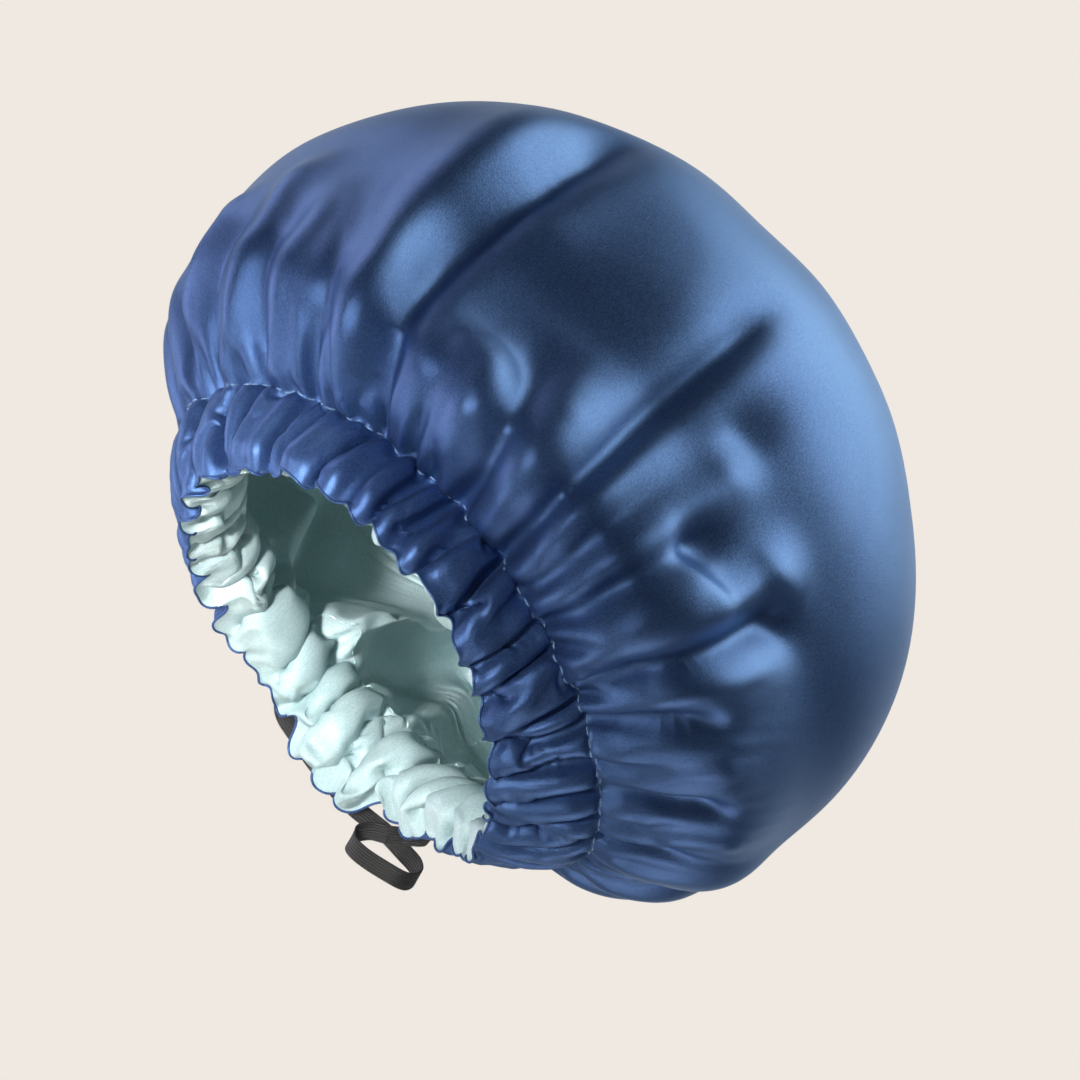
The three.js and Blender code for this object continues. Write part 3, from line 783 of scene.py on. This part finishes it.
def outer_limits(grid):
    """The lowest and the highest that the satin may lie over its smooth shape."""
    from_row = smooth(np.abs(grid.from_row), 0, 14 * MM)
    valley, crest = -6.5 * MM, 2.6 * MM
    below_row = valley + 2 * MM * smooth(grid.band_share, 0, 0.4) - 2 * MM * smooth(grid.band_share, 0.62, 1)
    lowest = grid.choose(valley - 5 * MM * from_row, below_row)
    highest = crest + 7 * MM * from_row
    at_nape = smooth(grid.degrees, 42, 52) * (1 - smooth(grid.degrees, 122, 132)) * ~grid.on_crown
    highest = highest * (1 - at_nape) + np.minimum(highest, 2.2 * MM) * at_nape
    return lowest, highest


def settle_outer(grid):
    """The outer satin's points. Surplus is the length of its threads round the bonnet, and slack down it."""
    up = grid.up
    folds, pleats = photographed_folds(grid), outer_pleats(grid)
    start = grid.base + grid.normals * outer_height(grid, folds, pleats)[..., None]
    crest = np.clip(1 + pleats / (5 * MM), 0, 1)
    start[..., 2] += (1.5 * MM - 3 * MM * crest) * smooth(grid.band_share, 0.55, 1)
    surplus = fading(grid, 1.02, more_at_row=0.52, reach=26 * MM) + 0.03 * smooth(grid.share, 0.3, 0.8)
    surplus = grid.choose(surplus, 1.7 + 0.3 * grid.band_share)
    slack = grid.choose(fading(grid, 1, more_at_row=0.02, reach=25 * MM), 1.07)
    push = grid.choose(0.016 * MM + 0.008 * MM * smooth(up, 0, 40 * MM), 0.018 * MM)
    folded = smooth(np.abs(folds), 0.6 * MM, 3 * MM)
    hold = outer_hold(grid, folded)
    points = settle(grid, start, surplus, slack, hold, push, *outer_limits(grid), outer_stiffness)
    calm = 0.8 * smooth(up, 10 * MM, 40 * MM) * (1 - 0.8 * folded) * grid.on_crown
    points = iron(points, calm, 6)
    edge = smooth(grid.band_share, 0.7, 1)[..., None]
    return points * (1 - 0.7 * edge) + evened(points, 14, axis=1) * 0.7 * edge


# Settling of the lining

def lining_folds(grid):
    """Hollows beside the cone that shows through the mouth, and softer folds elsewhere."""
    left_bag = [(130, 1), (130, 0.93), (130, 0.85), (129.5, 0.78)]
    left_pit = [(122, 1), (122.5, 0.9), (123.5, 0.84), (125.5, 0.76), (127, 0.66)]
    flap = [(88, 1), (88, 0.92), (88, 0.82), (88, 0.74)]
    height = long_fold(grid, left_bag, 9 * MM, 11 * MM, -15 * MM)
    height += long_fold(grid, left_pit, 4 * MM, 12 * MM, 5 * MM)
    height += long_fold(grid, flap, 9 * MM, 16 * MM, -10 * MM)
    rng = np.random.default_rng(31)
    for angle in [150, 168, 186, 205, 225, 246, 268, 290, 312, 335, 356, 18, 40, 60]:
        path = [(angle, 1), (angle + rng.uniform(-6, 6), 0.82), (angle + rng.uniform(-9, 9), 0.55)]
        width = rng.uniform(7, 11) * MM
        height -= long_fold(grid, path, width, 2.4 * width, rng.uniform(4, 9) * MM)
    return height


def lining_cone(grid):
    """The soft cone of lining that sinks into the mouth at the nape, from 0 to 1."""
    path = [(110, 1), (108, 0.93), (103, 0.84), (101, 0.79), (99.5, 0.72), (96, 0.6), (92, 0.4)]
    return long_fold(grid, path, 8 * MM, 44 * MM, 1, rise=0.04, fall=0.2, lean=-0.35)[..., None]


def elastic_height(grid, outer):
    """Height of the elastic's middle: it lies on the band's valleys, evened, so the deepest cut into it."""
    middle = grid.crown_rows + int(elastic_place * grid.band_rows)
    reach = int(np.ceil(0.6 * elastic_width / (band_depth / grid.band_rows)))
    lowest = least_round(outer[middle - reach:middle + reach + 1].min(0)[None], 7)
    for _ in range(4):
        lowest = mean_round(lowest, 6)
    return middle, lowest[0] - elastic_thickness / 2 - 0.35 * MM


def room_for_lining(grid, outer):
    """The greatest height that the lining may have under the outer satin and the elastic."""
    least = least_round(outer, 4)
    soft = np.minimum(mean_round(mean_round(least, 3), 2), least + 0.3 * MM)
    room = soft - 0.6 * MM
    middle, elastic = elastic_height(grid, outer)
    below = np.broadcast_to((elastic - elastic_thickness / 2 - 0.4 * MM)[None], room.shape)
    from_elastic = np.abs(np.arange(grid.rows)[:, None] - middle) * band_depth / grid.band_rows
    over = 1 - smooth(from_elastic, 0.5 * elastic_width + 1.4 * MM, 0.5 * elastic_width + 5.5 * MM)
    return np.minimum(room, room * (1 - over) + below * over)


def lining_ruffles(grid, near_side):
    """Depth of the ruffles that puff into the mouth, flatter on the near side."""
    depth, reach, width = 10 * MM, 40 * MM, 3.2 * MM
    ruffles = depth + gathers(
        grid, 15, lining_gather_count, depth, reach, width, evenness=0.7, drift=13, bend=6, ends=(0.45, 1.7)
    )
    ruffles *= 1 + 0.45 * soft_noise(grid, 17, 24, 10)
    ruffles *= 1 - 0.75 * near_side
    ruffles *= grid.choose(np.exp(-grid.up / (18 * MM)), 1)
    ruffles *= smooth(np.abs(grid.from_row), 0, 9 * MM)
    return ruffles


def lining_lowest(grid, room, near_side):
    """The lowest that the lining may lie: deep on the crown, and shallower by the row and the edge."""
    near_edge = smooth(grid.down, 17 * MM, band_depth)
    from_row = smooth(np.abs(grid.from_row), 0, 12 * MM)
    deepest = (15 * MM - 11 * MM * near_side) * from_row * (1 - 0.5 * near_edge)
    return np.where(grid.up > 20 * MM, -40 * MM, room - 2 * MM - deepest)


def settle_lining(grid, outer_points):
    """The lining puffs the other way, into the mouth, and is kept within the outer satin and the elastic."""
    up = grid.up
    room = room_for_lining(grid, heights_over(grid, outer_points))
    near_side = smooth(grid.degrees, 185, 225) * (1 - smooth(grid.degrees, 325, 352))
    deep = -6 * MM + lining_folds(grid) + soft_noise(grid, 12, 14, 8) * 2 * MM
    share = smooth(up / (45 * MM))
    height = np.minimum(room, (room - lining_ruffles(grid, near_side)) * (1 - share) + deep * share)
    start = grid.base + grid.normals * height[..., None]
    lean = soft_noise(grid, 18, 22, 9) * 6 * MM * np.sin(math.pi * np.clip(grid.band_share, 0, 1))
    start += grid.along * lean[..., None]
    surplus = grid.choose(fading(grid, 1, more_at_row=0.8, reach=13 * MM), 1.9 + 0.1 * grid.band_share)
    slack = grid.choose(fading(grid, 1, more_at_row=0.12, reach=25 * MM), 1.32)
    hold = grid.choose(0.02 + 0.06 * smooth(up, 20 * MM, 60 * MM), 0.004)
    hold = np.maximum(hold, 0.22 * at_row(grid))
    push = grid.choose(-0.005 * MM, -0.035 * MM)
    lowest = lining_lowest(grid, room, near_side)
    points = settle(grid, start, surplus, slack, hold, push, lowest, room, lining_stiffness)
    cone = lining_cone(grid)
    points -= grid.normals * 25 * MM * cone + grid.along * 9 * MM * cone ** 2
    points = keep_inside(grid, points, room)
    sewn = smooth(grid.band_share, 0.86, 1)[..., None]
    beside = outer_points - grid.normals * 0.4 * MM
    return points * (1 - sewn) + beside * sewn


def keep_inside(grid, points, room):
    """Draws back what slid sideways past the room that it has."""
    height, slide = grid.height_and_slide(points)
    allowed = np.empty_like(height)
    for row in range(grid.rows):
        allowed[row] = np.interp(grid.angles + slide[row], grid.angles, room[row], period=2 * math.pi)
    return points + grid.normals * np.minimum(allowed - height, 0)[..., None]


# Meshes

def new_piece(name, vertices, faces, finish):
    mesh = bpy.data.meshes.new(name)
    mesh.from_pydata(np.asarray(vertices).tolist(), [], faces)
    mesh.update()
    mesh.shade_smooth()
    mesh.materials.append(finish)
    piece = bpy.data.objects.new(name, mesh)
    bpy.context.scene.collection.objects.link(piece)
    return piece


def face_outwards(piece):
    bpy.ops.object.select_all(action="DESELECT")
    piece.select_set(True)
    bpy.context.view_layer.objects.active = piece
    bpy.ops.object.mode_set(mode="EDIT")
    bpy.ops.mesh.select_all(action="SELECT")
    bpy.ops.mesh.normals_make_consistent(inside=False)
    bpy.ops.object.mode_set(mode="OBJECT")


def cloth_piece(name, grid, points, finish, skip=None):
    """One open layer of cloth, closed by a fan at the crown's top. Faces in skip are left out."""
    columns, rows = grid.columns, grid.rows
    vertices = np.concatenate([points.reshape(-1, 3), points[0].mean(0)[None]])
    first = np.arange(rows - 1)[:, None] * columns
    here = np.arange(columns)[None, :]
    after = (here + 1) % columns
    quads = np.stack([first + here, first + columns + here, first + columns + after, first + after], -1)
    keep = np.ones((rows - 1, columns), bool) if skip is None else ~skip
    fan = [(rows * columns, column, (column + 1) % columns) for column in range(columns)]
    piece = new_piece(name, vertices, quads[keep].tolist() + fan, finish)
    add_cloth_map(piece.data, grid)
    return piece


def add_cloth_map(mesh, grid):
    """A UV map in metres of flat cloth: the way round at the row, and the way down."""
    columns, on_grid = grid.columns, grid.rows * grid.columns
    flat_radius = (row_half_width + row_half_length) / 2 * cloth_fullness
    loops = np.empty(len(mesh.loops), int)
    mesh.loops.foreach_get("vertex_index", loops)
    column = np.where(loops < on_grid, loops % columns, 0)
    row = np.where(loops < on_grid, loops // columns, 0)
    sides = np.empty(len(mesh.polygons), int)
    mesh.polygons.foreach_get("loop_total", sides)
    face = np.repeat(np.arange(len(sides)), sides)
    last_column = np.zeros(len(sides))
    np.maximum.at(last_column, face, column)
    wraps = (last_column[face] == columns - 1) & (column == 0)
    u = (grid.angles * flat_radius)[column] + np.where(wraps, 2 * math.pi * flat_radius, 0)
    v = -grid.from_row.mean(1)[row]
    uv = mesh.uv_layers.new(name="cloth")
    uv.data.foreach_set("uv", np.stack([u, v], -1).astype(np.float32).ravel())


def dress(piece, node):
    """The piece moves with the bonnet, and stands for a CAD node."""
    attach(piece, "bonnet")
    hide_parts(node)


def add_satin(name, node, grid, points, finish, skip=None):
    """A layer of satin, gathered from a round cut and held by the elastic in the band."""
    piece = cloth_piece(name, grid, points, finish, skip)
    dress(piece, node)


def ring_faces(rings, sides, closed=False):
    """Faces between rings of points that have the same number of sides."""
    faces = []
    for i in range(rings if closed else rings - 1):
        here, after = i * sides, (i + 1) % rings * sides
        for k in range(sides):
            next_k = (k + 1) % sides
            faces.append((here + k, here + next_k, after + next_k, after + k))
    return faces


def closed_tube(name, centres, radius, sides, finish):
    """A thread whose end meets its start."""
    along = unit(np.roll(centres, -1, 0) - np.roll(centres, 1, 0))
    helper = np.where(np.abs(along[:, 2:]) < 0.9, [[0, 0, 1.0]], [[1.0, 0, 0]])
    side = unit(np.cross(along, helper))
    up = np.cross(side, along)
    turns = np.arange(sides) * 2 * math.pi / sides
    ring = np.cos(turns)[None, :, None] * side[:, None] + np.sin(turns)[None, :, None] * up[:, None]
    vertices = (centres[:, None] + radius * ring).reshape(-1, 3)
    piece = new_piece(name, vertices, ring_faces(len(centres), sides, closed=True), finish)
    face_outwards(piece)
    return piece


def add_rolled_edge(finish, outer_points, lining_points):
    """The turned edge where the two layers meet, a thin roll of the outer satin along the seam."""
    centres = evened((outer_points[-1] + lining_points[-1]) / 2, 1)
    centres[:, 2] -= 0.2 * MM
    piece = closed_tube("rolled_edge", centres, edge_roll_radius, 8, finish)
    dress(piece, "edge_seam_thread")


# Elastic. The strap's route is in millimetres

strap_route = [
    (-38.7, 77.7, -13.1), (-36.7, 81.6, -12.8), (-34.8, 85.6, -12.6), (-34.1, 88.0, -12.4),
    (-26.7, 93.2, -19.2), (-16.8, 95.5, -21.1), (-6.8, 96.8, -22.6), (3.4, 96.9, -23.5), (13.5, 96.1, -24.0),
    (21.4, 94.6, -23.7), (29.5, 93.4, -23.2), (37.9, 93.4, -23.4), (44.9, 90.5, -24.8), (49.2, 85.6, -28.8),
    (48.6, 81.2, -34.1), (41.1, 80.5, -37.0), (31.6, 83.5, -38.0), (25.3, 87.1, -36.6), (23.3, 90.1, -32.4),
    (25.4, 90.5, -27.6), (30.9, 89.3, -24.3),
    (36.3, 88.6, -19.8), (41.7, 86.6, -15.9), (42.1, 81.3, -13.8), (43.1, 79.0, -13.7), (45.6, 75.4, -13.9),
    (48.1, 71.8, -14.0),
]
curl_start_point = strap_route[9]
curl_end_point = strap_route[20]
curl_across = Vector((0.26, 0.388, -0.884)).normalized()
slot_across = Vector((0, 0, -1))
strap_step = 0.6 * MM
strap_tilt_length = 14 * MM
lead_length = 5 * MM


def smooth_route(points, step):
    """Evenly spaced points on a smooth curve through the given ones."""
    places = np.array(points) * MM
    ends = np.concatenate([[2 * places[0] - places[1]], places, [2 * places[-1] - places[-2]]])
    dense = [
        0.5 * (2 * b + (c - a) * t + (2 * a - 5 * b + 4 * c - d) * t ** 2 + (3 * b - a - 3 * c + d) * t ** 3)
        for a, b, c, d in zip(ends, ends[1:], ends[2:], ends[3:])
        for t in np.linspace(0, 1, 40, endpoint=False)
    ]
    dense = np.array(dense + [places[-1]])
    length = lengths_along(dense)
    even = np.linspace(0, length[-1], int(length[-1] / step) + 1)
    return points_at(even, length, dense)


def ribbed_section():
    """Half widths and heights round the elastic's section: ribs on both faces and round edges."""
    steps = rib_count * 6
    across = np.linspace(-0.5, 0.5, steps + 1) * elastic_width
    ribs = np.abs(np.sin(np.linspace(0, rib_count * math.pi, steps + 1))) ** 0.7 * rib_height
    edge = np.sqrt(np.clip(1 - (np.abs(across) / (elastic_width / 2)) ** 8, 0, 1))
    face = (elastic_thickness / 2 - rib_height) * edge + ribs * edge
    upper = list(zip(across, face))
    lower = [(x, -y) for x, y in reversed(upper[1:-1])]
    return upper + lower


def ribbon(name, centres, acrosses, finish):
    """Ribbed elastic along centres, each with the direction of its width."""
    section = ribbed_section()
    size = len(section)
    tangents = unit(np.gradient(centres, axis=0))
    acrosses = unit(acrosses - tangents * (acrosses * tangents).sum(1, keepdims=True))
    vertices = []
    for centre, across, through in zip(centres, acrosses, np.cross(tangents, acrosses)):
        vertices += [centre + across * x + through * y for x, y in section]
    faces = ring_faces(len(centres), size)
    faces.append(tuple(reversed(range(size))))
    faces.append(tuple(range(len(vertices) - size, len(vertices))))
    piece = new_piece(name, vertices, faces, finish)
    length = lengths_along(centres)
    uv = piece.data.uv_layers.new(name="cloth")
    for loop in piece.data.loops:
        i, j = divmod(loop.vertex_index, size)
        uv.data[loop.index].uv = (section[j][0], length[i])
    face_outwards(piece)
    return piece


def nearest_index(points, place):
    return int(np.argmin(np.linalg.norm(points - np.array(place) * MM, axis=1)))


def blend_curl(piece, centres):
    """Bakes the curl's place into its mesh. The line between its ends, the hinge in its middle and the way
    the curl hangs are worked out, but nothing uses them.
    """
    swing_line = unit(centres[-1] - centres[0])
    hinge = (centres[0] + centres[-1]) / 2
    hang = centres.mean(0) - hinge
    hang = unit(hang - swing_line * (hang @ swing_line))
    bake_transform(piece)


def add_strap(finish):
    """The strap outside the band: runs from both slots, the leads that cross, and the curl."""
    centres = smooth_route(strap_route, strap_step)
    start = nearest_index(centres, curl_start_point)
    end = nearest_index(centres, curl_end_point)
    ramp = int(strap_tilt_length / strap_step)
    index = np.arange(len(centres))
    tilt = smooth(index, start - 2 * ramp, start) * (1 - smooth(index, end, end + ramp))
    acrosses = np.outer(1 - tilt, np.array(slot_across)) + np.outer(tilt, np.array(curl_across))
    lead = int(lead_length / strap_step)
    parts = [
        ("left_strap_run", 0, start - lead, "strap_run_left"),
        ("left_strap_lead", start - lead, start, "strap_lead_left"),
        ("strap_curl", start, end, "strap_loop"),
        ("right_strap_lead", end, end + lead, "strap_lead_right"),
        ("right_strap_run", end + lead, len(centres) - 1, "strap_run_right"),
    ]
    for name, first, last, node in parts:
        piece = ribbon(name, centres[first:last + 1], acrosses[first:last + 1], finish)
        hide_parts(node)
        if name == "strap_curl":
            blend_curl(piece, centres[first:last + 1])
        elif "lead" in name:
            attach(piece, "strap_leads")
        elif name == "left_strap_run":
            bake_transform(piece)
        else:
            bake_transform(piece)


def add_band_elastic(finish, grid, outer_points):
    """The elastic inside the band, from one slot round the front to the other."""
    middle, height = elastic_height(grid, heights_over(grid, outer_points))
    centres = evened(grid.base[middle] + grid.normals[middle] * height[:, None], 6)
    first, last = (int(angle / 360 * grid.columns) for angle in (elastic_from_angle, elastic_to_angle))
    order = np.arange(first, last + 1) % grid.columns
    down = grid.base[middle + 2] - grid.base[middle - 2]
    piece = ribbon("elastic_in_band", centres[order], down[order], finish)
    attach(piece, "bonnet")
    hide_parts("casing_elastic_left", "casing_elastic_right", "elastic_join_stitches")


# Stitches

def add_stitch(vertices, faces, centres, out, lift):
    """Adds one thread to the row: it arches over the cloth, and its ends are sunk in."""
    arch = np.sin(np.linspace(0, math.pi, stitch_rings))
    centres = centres + out * (lift * (0.2 + 0.8 * arch))[:, None]
    side = np.cross(unit(np.gradient(centres, axis=0)), out)
    start = len(vertices)
    for centre, up, across, rise in zip(centres, out, side, arch):
        radius = thread_radius * (0.45 + 0.55 * min(1, 2.5 * rise))
        for k in range(stitch_sides):
            turn = 2 * math.pi * k / stitch_sides
            vertices.append(centre + radius * (math.cos(turn) * up + math.sin(turn) * across))
    for a, b, c, d in ring_faces(stitch_rings, stitch_sides):
        faces.append((start + a, start + d, start + c, start + b))
    faces.append(tuple(range(start, start + stitch_sides)))
    faces.append(tuple(reversed(range(len(vertices) - stitch_sides, len(vertices)))))


def stitch_row(name, grid, points, normals, lift, share, finish, node, seed):
    """Short threads along the row. Each covers a share of its pitch."""
    rng = np.random.default_rng(seed)
    row = grid.crown_rows - 1
    line = np.concatenate([points[row], points[row][:1]])
    ups = np.concatenate([normals[row], normals[row][:1]])
    length = lengths_along(line)
    vertices, faces = [], []
    place = 0.0
    while place < length[-1] - stitch_pitch:
        span = stitch_pitch * share * rng.uniform(0.85, 1.1)
        at = np.linspace(place, place + span, stitch_rings)
        add_stitch(vertices, faces, points_at(at, length, line), unit(points_at(at, length, ups)), lift)
        place += stitch_pitch * rng.uniform(0.92, 1.08)
    dress(new_piece(name, vertices, faces, finish), node)


def slot_outline(grid, points, slot):
    """Points of the cloth round a slot, evened to a soft rectangle, and the cloth's normal there."""
    first, last = (int(round(angle / 360 * grid.columns)) for angle in slot[:2])
    top, bottom = (grid.crown_rows - 1 + int(round(share * grid.band_rows)) for share in slot[2:])
    loop = [points[top, column] for column in range(first, last)]
    loop += [points[row, last] for row in range(top, bottom)]
    loop += [points[bottom, column] for column in range(last, first, -1)]
    loop += [points[row, first] for row in range(bottom, top, -1)]
    loop = evened(np.array(loop), 3)
    out = grid.normals[(top + bottom) // 2, (first + last) // 2][None]
    return np.concatenate([loop, loop[:1]]), out


def add_slot_binding(name, node, finish, grid, points, slot):
    """Overcast stitches round a slot: one thread that coils round the opening's edge."""
    outline, out = slot_outline(grid, points, slot)
    length = lengths_along(outline)
    steps = int(length[-1] / binding_pitch) * 8
    centre = points_at(np.arange(steps) * length[-1] / steps, length, outline)
    side = np.cross(unit(np.roll(centre, -1, 0) - np.roll(centre, 1, 0)), out)
    angle = np.arange(steps) * 2 * math.pi / 8
    coil = centre + (np.cos(angle)[:, None] * side * 0.8 + np.sin(angle)[:, None] * out * 0.5) * MM
    dress(closed_tube(name, coil, binding_thread_radius, 6, finish), node)


add_camera()
add_studio()
blue_satin = satin_finish(
    "blue_satin", shade=(0.034, 0.069, 0.2), colour=(0.062, 0.12, 0.295), gloss_tint=(0.4, 0.7, 1),
    roughness=0.37, gloss=0.8, lustre=0.5,
)
mint_satin = satin_finish(
    "mint_satin", shade=(0.41, 0.58, 0.59), colour=(0.58, 0.70, 0.715), gloss_tint=(0.9, 1, 1),
    roughness=0.48, gloss=0.4, lustre=0.15,
)
black_elastic = elastic_finish("black_elastic")
blue_thread = thread_finish("blue_thread", (0.16, 0.3, 0.5), (0.35, 0.52, 0.74))
mint_thread = thread_finish("mint_thread", (0.4, 0.6, 0.57), (0.66, 0.82, 0.8))

grid = ClothGrid(cloth_columns, cloth_crown_rows, cloth_band_rows)
outer_points = settle_outer(grid)
add_satin("outer_satin", "outer_shell", grid, outer_points, blue_satin, skip=in_slots(grid))
lining_points = settle_lining(grid, outer_points)
add_satin("satin_lining", "lining", grid, lining_points, mint_satin)
add_strap(black_elastic)
add_band_elastic(black_elastic, grid, outer_points)
stitch_row("outer_row_stitches", grid, outer_points, cloth_normals(outer_points), 0.25 * MM, 0.72,
           blue_thread, "row_thread_outer", 41)
stitch_row("inner_row_stitches", grid, lining_points, -cloth_normals(lining_points), 0.2 * MM, 0.6,
           mint_thread, "row_thread_inner", 42)
add_rolled_edge(blue_satin, outer_points, lining_points)
add_slot_binding("left_slot_stitches", "slot_binding_left", blue_thread, grid, outer_points, left_slot)
add_slot_binding("right_slot_stitches", "slot_binding_right", blue_thread, grid, outer_points, right_slot)
